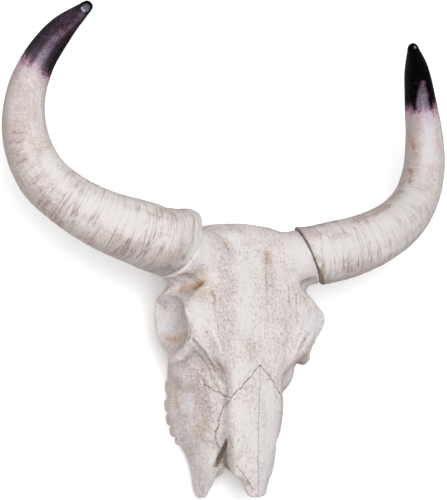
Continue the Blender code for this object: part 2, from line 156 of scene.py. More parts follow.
# Lesser tints, beside those of the settings.
# The bleached tint also lays a painted highlight.
BLEACH_AND_HIGHLIGHT_TINT = (0.535, 0.525, 0.53)
CREVICE = (0.22, 0.15, 0.12)
RUST = (0.27, 0.16, 0.095)
# Painted shade in holes and creases.
HOLE_SHADE = (0.1, 0.07, 0.06)
TOOTH = (0.55, 0.47, 0.36)
SCRATCH = (0.2, 0.14, 0.12)
OLIVE = (0.35, 0.29, 0.225)
BROWN = (0.3, 0.19, 0.14)
HAZE = (0.5, 0.47, 0.55)
ROSE = (0.33, 0.18, 0.25)
PLUM = (0.12, 0.055, 0.09)
VIOLET = (0.155, 0.12, 0.17)
FACET = (0.12, 0.12, 0.15)
GLINT = (0.38, 0.38, 0.42)

# How glossy bone and horn are, and how deep their grain is in metres.
BONE_GLOSS = 0.2
BONE_GRAIN = 0.0011
HORN_GLOSS = 0.025
HORN_GRAIN = 0.0009

# Round places: centre, radii. The lilac ones also have a strength.
ROUGH_SPOT = ((-57, 124, -30), (16, 32, 18))
LILAC_SOCKET = ((96, 214, -34), (26, 34, 34))
LILAC_SPOTS = [
    ((74, 212, 16), (24, 26, 16), 1.0),
    ((14, 20, 0), (22, 34, 16), 0.7),
    ((-46, 26, -62), (20, 44, 30), 0.6),
    ((-37, 98, -8), (8, 26, 14), 0.7),
]

# The stage, in metres and watts. Lamps: name, place, size, power.
FLOOR_SIZE = 12
FLOOR_DROP = 0.0005
FLOOR_TONES = ((0.9, 0.9, 0.9), (0.93, 0.93, 0.93))
FLOOR_GLOW = 0.2
ROOM_LIGHT = 0.5
LAMPS = [("key_light", (-0.75, -0.35, 2.2), 1.4, 46), ("fill_light", (0.5, 0.6, 2.4), 2.4, 10)]
LAMP_TARGET = (0, 0, 0.1)

# The camera in the face frame: its place, and its right, up and forward directions.
CAMERA_PLACE = (-843.62, -17.76, 1624.54)
CAMERA_AXES = [
    (0.89739, -0.03843, 0.43956),
    (-0.04242, 0.98407, 0.17265),
    (0.43919, 0.17358, -0.88147),
]
SENSOR_WIDTH = 36
CLIP_END = 50

# Marks on the bone: path, half width, depth, stain.
MARKS = [
    # forehead
    ([(-35, 310, 6), (-31, 303, 8)], 2.6, 2, 0.48),
    ([(-40, 314, 5), (-35, 310, 6)], 1.6, 0.5, 0.3),
    ([(23, 298, 7), (24, 288, 9)], 4.4, 1.5, 0.55),
    ([(21, 299, 6), (24, 298, 6)], 1.6, 0.8, 0.4),
    ([(20, 288, 8), (17, 258, 13), (15, 235, 19)], 1.7, 0.7, 0.1),
    ([(27, 288, 9), (26, 258, 13)], 1.5, 0.6, 0.1),
    ([(43, 288, 13), (48, 259, 12), (47, 233, 19)], 1.7, 0.7, 0.1),
    ([(57, 247, 15), (53, 218, 21)], 1.4, 0.7, 0.12),
    ([(72, 268, 5), (70, 262, 7)], 2.6, 0.4, 0.4),
    ([(-58, 248, 14), (-56, 237, 18)], 1.9, 2.4, 0.6),
    ([(-59, 234, 18), (-58, 214, 20), (-55, 200, 21)], 1.8, 0.7, 0.18),
    ([(-75, 272, 9), (-67, 268, 8)], 3.4, 0.3, 0.5),
    ([(-14, 182, 21), (-12, 164, 20)], 1.4, 0.4, 0.22),
    # temple, brow and eye socket
    ([(-69, 259, 7), (-71, 256, 2), (-74, 254, -2)], 3.4, 1.2, 1.15),
    ([(-70, 257, 2), (-78, 257, -7), (-86, 254, -14)], 2.6, 0.8, 0.6),
    ([(-74, 254, -2), (-82, 251, -8), (-90, 250, -13)], 1.8, 0.4, 0.45),
    ([(-81, 246, 6), (-71, 242, 14)], 5, 0.2, 0.38),
    ([(-88, 239, 6), (-81, 233, 15), (-69, 239, 15)], 3.6, 0, 0.2),
    ([(-62, 262, 10), (-58, 256, 13)], 3.2, 0.2, 0.34),
    ([(65, 254, 11), (71, 241, 15), (72, 225, 18)], 2.2, 0.6, 0.28),
    ([(-104, 247, -48), (-101, 250, -34), (-95, 250, -20), (-90, 248, -9)], 1.3, 0.4, 0.5),
    ([(-92, 246, -20), (-96, 227, 10), (-93, 214, 18), (-89, 205, 18), (-88, 196, 11),
      (-88, 189, -1)], 0.9, 0.3, 0.4),
    ([(-92, 198, -52), (-87, 195, -46), (-82, 196, -39), (-79, 197, -28)], 5, 0, 0.6),
    ([(-89, 196, -50), (-84, 195, -43)], 3, 0, 0.7),
    # cheeks
    ([(-88, 189, -2), (-76, 176, -7), (-61, 166, -11), (-54, 157, -12)], 1.5, 0.9, 0.26),
    ([(-54, 157, -12), (-49, 145, -16), (-42, 130, -11), (-37, 122, -4)], 1.4, 0.9, 0.26),
    ([(-73, 138, -69), (-74, 128, -69), (-74, 117, -69)], 3, 0.5, 0.6),
    ([(-56, 84, -41), (-51, 86, -31)], 4.5, 0.5, 0.42),
    ([(-53, 93, -32), (-54, 78, -44)], 4, 0.4, 0.42),
    # snout
    ([(-33, 69, -8), (-30, 61, -6), (-30, 58, -15)], 1.5, 1.2, 0.6),
    ([(-25, 38, -7), (-18, 28, -3), (-11, 16, -1)], 1.6, 1.5, 0.3),
    ([(-13, 19, -1), (-8, 10, -1)], 1.8, 1.5, 0.5),
    ([(-33, 66, -17), (-32, 57, -27), (-34, 48, -36)], 2.4, 2.5, 0.35),
    ([(83, 168, -33), (80, 171, -17), (74, 166, -4)], 5, 0.3, 0.3),
    ([(-52, 166, 9), (-43, 150, 0), (-38, 142, -2)], 3.4, 0, 0.2),
    # The next two rows darken the margins of the nasal notch: stain and painted shade.
    ([(-29, 52, -28), (-28, 42, -32), (-27, 34, -19)], 4.5, 0, 0.4),
    ([(-33, 50, -35), (-36, 43, -39), (-38, 33, -43)], 1.7, 0.3, 0.7),
]

# Gentle ridges and hollows of the right side, mirrored to the left: path, half width, height.
SWELLS = [
    ([(-86, 189, 4), (-71, 177, -2), (-58, 164, -7), (-49, 152, -12), (-42, 138, -9)], 2.4, 1.6),
    ([(-84, 188, 8), (-69, 174, 6), (-54, 158, -4), (-44, 143, -6)], 2.2, -1.7),
    ([(-81, 189, 12), (-66, 175, 11), (-50, 158, 1), (-39, 143, -2)], 2.6, 1.6),
    ([(-70, 196, 20), (-61, 183, 18), (-52, 166, 9), (-43, 150, 0)], 3.4, -2.2),
    ([(-62, 198, 21), (-53, 182, 19), (-45, 166, 13), (-36, 152, 5)], 3, 1.3),
    ([(-40, 186, 21), (-37, 170, 18), (-30, 156, 13)], 2.6, -0.9),
    ([(-82, 240, 12), (-76, 215, 17), (-70, 196, 18)], 8, 1.62),
    ([(-47, 236, 18), (-46, 205, 21), (-43, 180, 20), (-33, 148, 13)], 8, -1.76),
    ([(-92, 180, -48), (-90, 171, -19), (-73, 166, -26), (-62, 153, -22),
      (-50, 138, -19)], 3.5, 1.76),
    ([(-78, 152, -45), (-72, 128, -54), (-70, 108, -60)], 5, 1.76),
    ([(-66, 150, -34), (-62, 128, -42), (-60, 104, -46)], 5, -1.62),
    ([(-50, 120, -20), (-48, 96, -26), (-50, 76, -38)], 5, 1.62),
    ([(-18, 322, 3), (-14, 290, 9), (-8, 250, 16)], 12, 1.22),
]

# Where the pinkish wash has settled: path, half width, strength.
WASHES = [
    ([(-37, 326, 0), (-38, 309, 8), (-38, 263, 12), (-42, 212, 21), (-46, 176, 20),
      (-44, 152, -4)], 12, 0.7),
    ([(-45, 328, -3), (-8, 332, -4)], 8, 0.6),
    ([(22, 280, 9), (26, 239, 18), (28, 195, 22)], 12, 0.45),
    ([(44, 228, 19), (33, 188, 21)], 7, 0.45),
    ([(-14, 182, 21.5), (-12, 164, 20)], 6, 0.7),
    ([(-70, 196, 20), (-61, 183, 18), (-52, 166, 9), (-43, 150, 0)], 6, 0.9),
    ([(-8, 140, 17), (-22, 130, 10)], 6, 0.3),
    ([(-78, 272, 9), (-69, 276, 12)], 9, 0.8),
    ([(-84, 262, -6), (-76, 258, 0)], 9, 0.6),
    ([(83, 168, -33), (80, 171, -17), (74, 166, -4)], 9, 0.9),
    ([(-64, 153, -23), (-63, 138, -32), (-56, 120, -31), (-53, 105, -27)], 11, 1),
    ([(-50, 101, -25), (-53, 93, -32), (-54, 78, -44)], 9, 0.6),
    ([(-32, 87, 1), (-33, 69, -6)], 5, 0.6),
    ([(-76, 150, -66), (-74, 110, -66), (-64, 76, -66)], 9, 0.75),
    ([(-60, 72, -56), (-54, 44, -56), (-48, 18, -58)], 12, 0.6),
    ([(-48, 12, -67), (-44, 9, -62), (-40, 12, -58)], 6, 0.5),
]

# Bleached places, smooth and a little cooler, that also hold a painted highlight: path, half width,
# strength.
BLEACH_AND_HIGHLIGHT = [
    ([(-78, 226, 18), (-72, 214, 20), (-64, 202, 21)], 11, 0.6),
    ([(-15, 315, 3), (-13, 276, 10), (-15, 238, 19), (-20, 200, 22)], 11, 0.6),
    ([(59, 225, 20), (73, 217, 19), (81, 213, 19)], 9, 0.9),
    ([(58, 317, 9), (64, 297, 17), (69, 281, 15)], 12, 0.9),
    ([(-40, 137, -8), (-32, 145, 14), (-14, 162, 20)], 7, 0.8),
    ([(-25, 104, 9), (-12, 80, 8), (5, 56, 5)], 10, 0.65),
    ([(11, 128, 15), (19, 92, 8), (14, 50, 3), (12, 20, 0)], 9, 1),
    ([(-75, 151, -35), (-67, 128, -53), (-65, 107, -49)], 5, 0.7),
    ([(-56, 76, -52), (-54, 60, -52), (-49, 36, -52), (-46, 20, -56)], 9, 0.4),
    ([(-71, 288, 18), (-59, 277, 12), (-57, 260, 11)], 8, 0.9),
    ([(-66, 325, 10), (-68, 305, 20), (-76, 288, 22)], 8, 0.9),
    ([(-105, 232, -30), (-100, 215, -40), (-92, 205, -45)], 16, 0.7),
]

# Painted shade in deep places and creases, such as the nasal notch: path, half width, strength.
DEEP_SHADE = [
    ([(-33, 69, -14), (-32, 57, -27)], 3.4, 1.3),
    ([(-32, 57, -27), (-33, 49, -35), (-36, 42, -40)], 4.4, 1.1),
    ([(-30, 56, -26), (-28, 44, -33), (-26, 36, -25)], 5, 0.85),
    ([(-23, 33, -9), (-18, 26, -7), (-12, 16, -4)], 2.4, 0.4),
    ([(-92, 246, -20), (-97, 232, -2), (-95, 220, 12)], 1.6, 0.4),
    ([(-93, 214, 16), (-89, 205, 16), (-87, 196, 9)], 1.8, 0.3),
    ([(-108, 240, -46), (-112, 222, -48), (-108, 204, -50)], 3, 0.25),
]

# Places with fine brown cracks all over: path, half width, strength.
CRAZED = [
    ([(-78, 250, 2), (-66, 243, 14), (-60, 234, 17)], 11, 1),
    ([(-60, 234, 17), (-58, 214, 20), (-56, 198, 21)], 5, 0.6),
    ([(-64, 154, -22), (-62, 138, -33), (-55, 120, -30), (-52, 104, -26)], 11, 0.9),
    ([(-86, 190, 0), (-68, 174, -2), (-52, 156, -8), (-42, 138, -10)], 7, 0.8),
    ([(-44, 156, 2), (-38, 144, 2)], 8, 0.6),
    ([(-32, 130, 2), (-14, 150, 17), (2, 163, 20)], 4, 0.7),
    ([(4, 160, 20), (18, 145, 17), (30, 128, 8)], 4, 0.7),
    ([(-106, 236, -40), (-104, 215, -44), (-96, 200, -48)], 10, 0.5),
    ([(22, 296, 7), (22, 262, 13), (18, 236, 19)], 7, 0.6),
    ([(58, 262, 11), (54, 225, 20), (50, 206, 21)], 7, 0.6),
    ([(76, 246, 9), (72, 262, 6)], 6, 0.6),
    ([(-42, 316, 5), (-30, 304, 8)], 8, 0.6),
    ([(82, 170, -20), (72, 166, -5)], 8, 0.7),
]

# Paths on the sheaths for each kind of wear, where the bleached band also holds a painted
# highlight: path, half width, strength.
LEFT_WEAR = {
    "clean": [
        ([(88, 303, 27), (127, 309, 34), (181, 338, 35), (241, 384, 18)], 13, 0.6),
        ([(270, 496, 18), (275, 466, 10), (272, 436, 6)], 8, 0.5),
    ],
    "grime": [
        ([(92, 277, 14), (106, 268, 7)], 10, 0.9),
        ([(115, 280, 20), (190, 300, 20)], 12, 0.45),
    ],
    "olive": [
        ([(90, 280, 16), (98, 270, 8), (110, 267, 6)], 7, 0.9),
        ([(86, 292, 23), (90, 280, 16)], 3, 0.8),
        ([(120, 292, 28), (130, 284, 24)], 4, 0.35),
    ],
    "brown": [
        ([(254, 470, -8), (260, 458, -3), (258, 446, 2)], 6, 1),
        ([(249, 428, -6), (247, 418, -2), (244, 406, 2)], 4, 1.2),
        ([(217, 388, 2), (229, 391, 2)], 5, 0.9),
        ([(160, 349, 23), (180, 357, 21), (200, 369, 17)], 4.5, 0.9),
        ([(128, 341, 24), (150, 345, 23)], 4, 0.4),
    ],
    "pink": [
        ([(72, 331, 6), (83, 319, 21)], 9, 1),
        ([(78, 336, 4), (118, 345, 8)], 6, 0.8),
        ([(108, 319, 29), (128, 323, 32)], 6, 0.9),
        ([(131, 283, 24), (154, 290, 27)], 9, 0.8),
        ([(150, 347, 20), (194, 364, 19)], 7, 0.7),
        ([(200, 318, 24), (240, 350, 14)], 8, 0.7),
        ([(250, 430, 0), (256, 480, 2)], 12, 0.6),
    ],
}
RIGHT_WEAR = {
    "clean": [([(-263, 397, 15), (-238, 350, 26), (-198, 334, 36), (-150, 320, 40)], 12, 0.75)],
    "grime": [
        ([(-302, 433, 1), (-294, 391, 2), (-275, 356, 4), (-249, 327, -2)], 12, 1),
        ([(-253, 343, 16), (-219, 316, 23), (-183, 299, 27), (-143, 284, 23),
          (-111, 280, 24)], 16, 0.85),
        ([(-251, 391, 15), (-232, 360, 27), (-196, 349, 32)], 6, 0.4),
    ],
    "olive": [([(-240, 385, 12), (-232, 372, 16)], 4, 0.4)],
    "brown": [
        ([(-285, 372, 4), (-268, 348, 8), (-255, 337, 10)], 7, 0.4),
        ([(-262, 350, -8), (-235, 322, -10)], 8, 0.35),
    ],
    "pink": [
        ([(-143, 334, 37), (-121, 345, 30), (-105, 335, 36)], 9, 1),
        ([(-183, 299, 27), (-143, 284, 23), (-111, 290, 27)], 16, 0.8),
        ([(-251, 391, 15), (-232, 360, 27)], 7, 0.6),
        ([(-292, 480, 8), (-296, 440, 2)], 12, 0.5),
    ],
}
HORN_WEAR = {"horn_left": LEFT_WEAR, "horn_right": RIGHT_WEAR}

# The violet sheen on the dark tips: path, half width, strength. Then the small worn facet at each
# end and the glint on it: path, half width.
TIP_SHEEN = {
    "horn_left": [
        ([(255, 534, 33), (255, 522, 25), (256, 492, 10)], 3.6, 0.85),
        ([(255, 532, 32), (262, 521, 26), (273, 492, 18)], 3.6, 0.85),
        ([(259, 520, 25), (263, 502, 19), (265, 486, 14)], 5.5, 1),
    ],
    "horn_right": [
        ([(-236, 563, 55), (-243, 554, 47), (-254, 546, 38)], 4.2, 0.75),
        ([(-254, 546, 38), (-264, 535, 31), (-273, 521, 24)], 5.8, 0.95),
        ([(-273, 521, 24), (-280, 508, 19), (-284, 494, 14)], 6.5, 1),
        ([(-245, 559, 49), (-267, 540, 32), (-281, 512, 20)], 17, 0.3),
    ],
}
TIP_FACET = {"horn_left": ([(224.6, 572, 63)], 1.3), "horn_right": ([(-232, 571, 61)], 4.6)}
TIP_GLINT = {
    "horn_left": ([(225.4, 570.6, 63.2), (225.2, 571.6, 63)], 0.8),
    "horn_right": ([(-236, 571.4, 58.4), (-235.2, 569.2, 58.4), (-233.2, 567.4, 59.2)], 1.1),
}


# ---- settings


def colour_setting(name, description, colour):
    """A colour among the settings."""
    return bpy.props.FloatVectorProperty(
        name=name, description=description, subtype="COLOR", size=3, min=0, max=1, default=colour
    )


class SkullSettings(bpy.types.PropertyGroup):
    """Sizes and colours of the dressed skull."""

    bone_colour: colour_setting("Bone", "Clean weathered bone", (0.57, 0.54, 0.53))
    wash_colour: colour_setting("Wash", "Pinkish grey in the low places", (0.43, 0.355, 0.34))
    stain_colour: colour_setting("Stain", "Brown earth in pits and hollows", (0.36, 0.25, 0.16))
    lilac_colour: colour_setting("Lilac", "Cool tint of sockets and snout", (0.47, 0.45, 0.52))
    horn_colour: colour_setting("Horn", "Pale horn at the base", (0.555, 0.525, 0.51))
    tip_colour: colour_setting("Tip", "Dark horn at the tip", (0.0006, 0.0004, 0.0006))
    step: bpy.props.FloatProperty(
        name="Step",
        description="Size of the finest faces",
        unit="LENGTH", min=0.001, max=0.004, default=0.0015,
    )
    lens: bpy.props.FloatProperty(
        name="Lens",
        description="Focal length of the camera",
        subtype="DISTANCE_CAMERA", min=20, max=300, default=107.47,
    )


# ---- the frame


def to_face(points):
    """World metres to millimetres in the face frame."""
    c, s = math.cos(FACE_TILT), math.sin(FACE_TILT)
    p = np.asarray(points, float) / MM - np.array(FACE_ORIGIN)
    return np.column_stack([p[:, 0], p[:, 1] * c + p[:, 2] * s, p[:, 2] * c - p[:, 1] * s])


def turn_to_world(vectors):
    """Directions in the face frame to world directions."""
    c, s = math.cos(FACE_TILT), math.sin(FACE_TILT)
    v = np.asarray(vectors, float)
    return np.column_stack([v[:, 0], v[:, 1] * c - v[:, 2] * s, v[:, 2] * c + v[:, 1] * s])


def to_world(points):
    """Millimetres in the face frame to world metres."""
    return (turn_to_world(points) + np.array(FACE_ORIGIN)) * MM


# ---- numbers on meshes


def ramp(x, low, high):
    """0 below low, 1 above high, and smooth between. Low may be the bigger one."""
    t = np.clip((x - low) / (high - low), 0, 1)
    return t * t * (3 - 2 * t)


def dot(first, second):
    """The dot products of the rows of two arrays."""
    return (first * second).sum(axis=1)


def lattice(cell, seed):
    """A number from 0 to 1 that belongs to a cell of the noise."""
    h = (cell @ np.array(HASH_STEPS) + seed * HASH_SEED_STEP) & 0xFFFFFFFF
    h = ((h ^ (h >> 13)) * HASH_MIXER) & 0xFFFFFFFF
    return ((h ^ (h >> 16)) & 0xFFFF) / 65535.0


def lumps(points, size, seed=0):
    """Smooth value noise from -1 to 1 whose lumps are about size apart."""
    p = np.asarray(points, float) / size
    cell = np.floor(p).astype(np.int64)
    f = p - cell
    f = f * f * (3 - 2 * f)
    total = np.zeros(len(p))
    for corner in np.ndindex(2, 2, 2):
        weight = np.abs(1 - np.array(corner) - f).prod(axis=1)
        total += weight * lattice(cell + corner, seed)
    return total * 2 - 1


def layers(points, rows):
    """The sum of some layers of noise: [(height, lump size, seed)]."""
    return sum(height * lumps(points, size, seed) for height, size, seed in rows)


def drift(points, rows):
    """Layers of noise as a vector for each point."""
    parts = ([(height, size, seed + i) for height, size, seed in rows] for i in range(3))
    return np.column_stack([layers(points, part) for part in parts])


def curve_through(points, count):
    """Points along a smooth curve through a few given ones."""
    p = np.asarray(points, float)
    p = np.vstack([2 * p[0] - p[1], p, 2 * p[-1] - p[-2]])
    found = []
    for t in np.linspace(0, len(p) - 3 - 1e-9, count):
        i, u = int(t), t - int(t)
        a, b, c, d = p[i : i + 4]
        bend = 2 * a - 5 * b + 4 * c - d
        found.append(0.5 * (2 * b + (c - a) * u + bend * u**2 + (3 * b - a - 3 * c + d) * u**3))
    return np.array(found)


def distance_to_path(points, path):
    """Distance from each point to a polyline."""
    best = np.full(len(points), FAR)
    for a, b in zip(path, path[1:]):
        a, b = np.asarray(a, float), np.asarray(b, float)
        along = b - a
        t = np.clip((points - a) @ along / max(along @ along, 1e-9), 0, 1)
        best = np.minimum(best, np.linalg.norm(points - a - t[:, None] * along, axis=1))
    return best


def along_paths(face, rows, sway):
    """The strongest of some soft bands along paths."""
    value = np.zeros(len(face))
    for path, half, strength in rows:
        distance = distance_to_path(face, path) + sway
        value = np.maximum(value, strength * ramp(distance, half * 1.5, half * 0.2))
    return value


def spot(face, centre, radius):
    """1 in the middle of an ellipsoid and 0 outside it."""
    return ramp(np.linalg.norm((face - np.array(centre)) / radius, axis=1), 1.0, 0.35)


def read(rows, what):
    """A vector from each of some rows of mesh data."""
    values = np.empty(len(rows) * 3)
    rows.foreach_get(what, values)
    return values.reshape(-1, 3)


def get_points(obj):
    return read(obj.data.vertices, "co")


def get_normals(obj):
    return read(obj.data.vertex_normals, "vector")


def set_points(obj, points):
    obj.data.vertices.foreach_set("co", np.asarray(points, np.float64).ravel())
    obj.data.update()


def set_masks(obj, masks):
    """Keeps numbers for the materials on the points of a mesh."""
    for name, values in masks.items():
        layer = obj.data.attributes.new(name, "FLOAT", "POINT")
        layer.data.foreach_set("value", np.asarray(values, np.float32))


def nearest(tree, points, reach=FAR):
    """Nearest points on a surface, their faces and how far they are."""
    places, faces, far = np.array(points), np.full(len(points), -1), np.full(len(points), reach)
    for i, p in enumerate(points):
        at, _, face, distance = tree.find_nearest(p, reach)
        if at is not None:
            places[i], faces[i], far[i] = at, face, distance
    return places, faces, far


# ---- modelling


def pick(*objects):
    """Selects some objects and makes the first one active."""
    bpy.ops.object.select_all(action="DESELECT")
    for obj in objects:
        obj.select_set(True)
    bpy.context.view_layer.objects.active = objects[0]


def apply_modifier(obj, kind, **settings):
    pick(obj)
    bpy.ops.object.modifier_add(type=kind)
    modifier = obj.modifiers[-1]
    for key, value in settings.items():
        setattr(modifier, key, value)
    bpy.ops.object.modifier_apply(modifier=modifier.name)


def remesh(obj, step):
    apply_modifier(obj, "REMESH", mode="VOXEL", voxel_size=step, adaptivity=0.0)


def smooth(obj, passes):
    apply_modifier(obj, "SMOOTH", factor=0.5, iterations=passes)


def copy_of_node(node, name):
    """A merged copy of a node's mesh, as an object of its own."""
    pick(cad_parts[node])
    bpy.ops.object.duplicate()
    piece = bpy.context.view_layer.objects.active
    piece.name = piece.data.name = name
    piece.parent = None
    bpy.ops.object.mode_set(mode="EDIT")
    bpy.ops.mesh.select_all(action="SELECT")
    bpy.ops.mesh.remove_doubles(threshold=MERGE_DISTANCE)
    bpy.ops.object.mode_set(mode="OBJECT")
    return piece


def smooth_whole(step):
    """The skull in one piece with its sutures closed, to take the smooth surface from."""
    copies = [copy_of_node(node, "guide_" + node) for node in BONES]
    for piece in copies:
        apply_modifier(piece, "DISPLACE", strength=GUIDE_SWELL, mid_level=0.0)
    pick(*copies)
    bpy.ops.object.join()
    whole = bpy.context.view_layer.objects.active
    whole.name = "guide"
    remesh(whole, step)
    apply_modifier(whole, "DISPLACE", strength=-GUIDE_SWELL, mid_level=0.0)
    smooth(whole, GUIDE_SMOOTHING)
    return whole


def hollowness(obj, passes):
    """How far each point lies under its smoothed surroundings, in millimetres."""
    before = get_points(obj)
    normals = get_normals(obj)
    twin = obj.copy()
    twin.data = obj.data.copy()
    bpy.context.scene.collection.objects.link(twin)
    smooth(twin, passes)
    low = dot(get_points(twin) - before, normals) / MM
    bpy.data.objects.remove(twin)
    return low


# ---- the bones


def tree_of(nodes):
    """One search tree over the plain surfaces of some nodes."""
    verts, faces = [], []
    for node in nodes:
        start = len(verts)
        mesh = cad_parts[node].data
        verts += [v.co for v in mesh.vertices]
        faces += [[start + i for i in p.vertices] for p in mesh.polygons]
    return BVHTree.FromPolygons(verts, faces)


def suture_trees(node):
    """What lies across a bone's open sutures, with how much of each is closed, and the rest."""
    shares = {next(iter(pair - {node})): closed for pair, closed in OPEN_SUTURES if node in pair}
    open_trees = [(tree_of([other]), closed) for other, closed in shares.items()]
    return open_trees, tree_of([n for n in BONES if n != node and n not in shares])


def close_sutures(piece, open_trees, shut_tree):
    """Moves the sutures' walls: cracks get thin, and bones that have grown together overlap."""
    points = get_points(piece)
    moved = np.array(points)
    for tree, closed in [(shut_tree, GROWN_TOGETHER)] + open_trees:
        across, _, gap = nearest(tree, points, SUTURE_REACH)
        near = gap < SUTURE_WIDTH
        moved[near] = points[near] + (across - points)[near] * closed
    set_points(piece, moved)


def worn_relief(face, seam, rough):
    """Height of the weathered surface in millimetres, without the marks."""
    relief = layers(face, BONE_WAVES)
    relief += rough * (0.4 * lumps(face, 4.5, 21) - 0.8 * ramp(rough_cracks(face), 0.24, 0.0))
    relief += 0.3 * ramp(seam, 5, 2.5) * ramp(seam, 0.6, 1.6) * ramp(lumps(face, 4, 6), -0.6, 0.4)
    right = np.column_stack([-np.abs(face[:, 0]), face[:, 1], face[:, 2]])
    for path, half, height in SWELLS:
        relief += height * ramp(distance_to_path(right, path), half * 1.8, 0)
    relief += APRON_HEIGHT * ramp(distance_to_path(face, HORN_APRON), 16, 3)
    pores = layers(face, BONE_PORES) + 0.5 * rough
    return relief - PORE_DEPTH * ramp(pores, 0.8, 1.05)


def rough_cracks(face):
    """Near 0 along the cracks of the rough cheek."""
    return np.abs(lumps(face, 3.8, 23))


def cut_marks(face, ragged, relief, stain):
    """Cuts the marks into the relief and spreads their stain."""
    bent = face + drift(face, MARK_DRIFT)
    for path, half, depth, colour in MARKS:
        d = distance_to_path(bent, path)
        relief -= depth * ramp(d + 0.3 * half * ragged, half * 1.4, half * 0.2)
        spread = colour * np.exp(-(((d + 0.4 * half * ragged) / (1.6 * half)) ** 2))
        stain = np.maximum(stain, spread) + 0.3 * np.minimum(stain, spread)
    return relief, stain


def tooth_share(face):
    """1 on the cheek teeth and 0 on the bone."""
    down = ramp(face[:, 2], -98, -101)
    outward = ramp(np.abs(face[:, 0]), 36, 40)
    return down * outward * ramp(face[:, 1], 215, 205) * ramp(face[:, 1], 60, 64)


def lilac_places(face):
    mirrored = np.column_stack([np.abs(face[:, 0]), face[:, 1], face[:, 2]])
    sockets = spot(mirrored, *LILAC_SOCKET)
    others = [strength * spot(face, *place) for *place, strength in LILAC_SPOTS]
    return np.clip(np.maximum.reduce([sockets, *others]), 0, 1)


def bone_piece(node, guide, tree, low, step):
    """A fine copy of a bone: smooth as the whole skull, then worn, pitted and cracked."""
    open_trees, shut_tree = suture_trees(node)
    piece = copy_of_node(node, node + "_bone")
    close_sutures(piece, open_trees, shut_tree)
    remesh(piece, step)
    points = get_points(piece)
    normals = get_normals(piece)
    seam = np.full(len(points), SEAM_REACH)
    for open_tree, _ in open_trees:
        seam = np.minimum(seam, nearest(open_tree, points, SEAM_REACH * MM)[2] / MM)

    # The cracks wander a little, but not the one between the nasal bones.
    face = to_face(points)
    wandering = ramp(np.abs(face[:, 0]), 2, 9) * ramp(face[:, 1], 20, 60)
    sway = ramp(seam, 9, 2) * (0.15 + 0.85 * wandering)
    face += drift(face, SUTURE_DRIFT) * SUTURE_SWAY * sway[:, None]
    points = to_world(face)

    # The skin is what lies on the outside of the whole skull, and takes its smooth surface.
    places, faces, far = nearest(tree, points)
    out = np.array([guide.data.polygons[f].normal for f in faces])
    teeth = tooth_share(face)
    skin = ramp(dot(out, normals), 0.35, 0.75) * ramp(far, 2.6 * MM, 1.6 * MM) * (1 - teeth)
    skin *= ramp(points[:, 2], 0.3 * MM, 2.5 * MM)
    points = points + (places - points) * skin[:, None]

    face = to_face(points)
    rough = spot(face, *ROUGH_SPOT)
    ragged = layers(face, BONE_RAGGED)
    stain = 0.25 * rough * ramp(rough_cracks(face), 0.2, 0.0)
    relief, stain = cut_marks(face, ragged, worn_relief(face, seam, rough), stain)
    inset = SOCKET_INSET * ramp(distance_to_path(face, SOCKET_CREST), 7, 1.5)
    points = points + out * (relief * MM * skin)[:, None]
    points = points + turn_to_world(np.outer(inset * skin, SOCKET_INWARD)) * MM
    points[:, 2] = np.maximum(points[:, 2], 0)
    set_points(piece, points)
    forward = to_face(places + out * MM) - to_face(places)
    masks = {
        "seam": ramp(seam, 1.4, 0.4) * (0.45 + 0.55 * wandering),
        "hollow": np.clip(low[faces] * 0.5 + 0.5, 0, 1),
        # crevice darkens creases with painted shade and dirt and lightens ridges with a painted
        # highlight; side marks painted shade on the sides.
        "crevice": np.clip(hollowness(piece, CREVICE_SMOOTHING) * 5, -1, 1),
        "side": ramp(forward[:, 2], 0.9, 0.15),
        "stain": stain,
        "wash": along_paths(face, WASHES, 4 * ragged),
        "clean": along_paths(face, BLEACH_AND_HIGHLIGHT, 4 * ragged),
        "dark": along_paths(face, DEEP_SHADE, ragged),
        "crazed": along_paths(face, CRAZED, 3 * ragged),
        "tooth": teeth,
        "lilac": lilac_places(face),
    }
    set_masks(piece, masks)
    return piece


# ---- the horns


def about_axis(node, face):
    """Where the points of a sheath lie about its axis and from its rim."""
    mirror = (1, 1, 1) if node == "horn_left" else (-1, 1, 1)
    axis = curve_through(HORN_AXES[node], AXIS_POINTS)
    middle, radii = axis[:, :3] * mirror, axis[:, 3]
    parts = np.array_split(face, AXIS_PARTS)
    near = np.concatenate(
        [np.argmin(((part[:, None] - middle[None]) ** 2).sum(axis=2), axis=1) for part in parts]
    )
    steps = np.linalg.norm(np.diff(middle, axis=0), axis=1)
    lengths = np.concatenate([[0], np.cumsum(steps)])
    tangents = np.gradient(middle, axis=0)
    tangents /= np.linalg.norm(tangents, axis=1)[:, None]
    t = tangents[near]
    out = face - middle[near]
    out -= t * dot(out, t)[:, None]
    reach = np.linalg.norm(out, axis=1)
    direction = out / np.maximum(reach, 1e-6)[:, None]
    rim_normal = np.array(HORN_RIM_NORMAL) * mirror
    rim_normal = rim_normal / np.linalg.norm(rim_normal)

    upright = np.cross(t, np.array((0.0, 0.0, 1.0)))
    upright /= np.linalg.norm(upright, axis=1)[:, None]
    angle = np.arctan2(dot(direction, np.cross(t, upright)), dot(direction, upright))
    along = lengths[near]
    around = WRAP_RADIUS * np.cos(angle), WRAP_RADIUS * np.sin(angle)

    worn = np.array(WORN_SIDE) - t * (t @ np.array(WORN_SIDE))[:, None]
    worn /= np.linalg.norm(worn, axis=1)[:, None]
    return SimpleNamespace(
        middle=middle[near],
        radius=radii[near],
        tangent=t,
        direction=direction,
        before_end=near < AXIS_POINTS - 3,
        outer=ramp(reach / radii[near], 0.8, 0.95),
        from_rim=(face - np.array(HORN_RIM_POINT) * mirror) @ rim_normal,
        share=along / lengths[-1],
        wrap=np.column_stack([*around, along]),
        facing=dot(direction, worn),
        lateral=dot(direction, np.cross(t, worn)),
    )


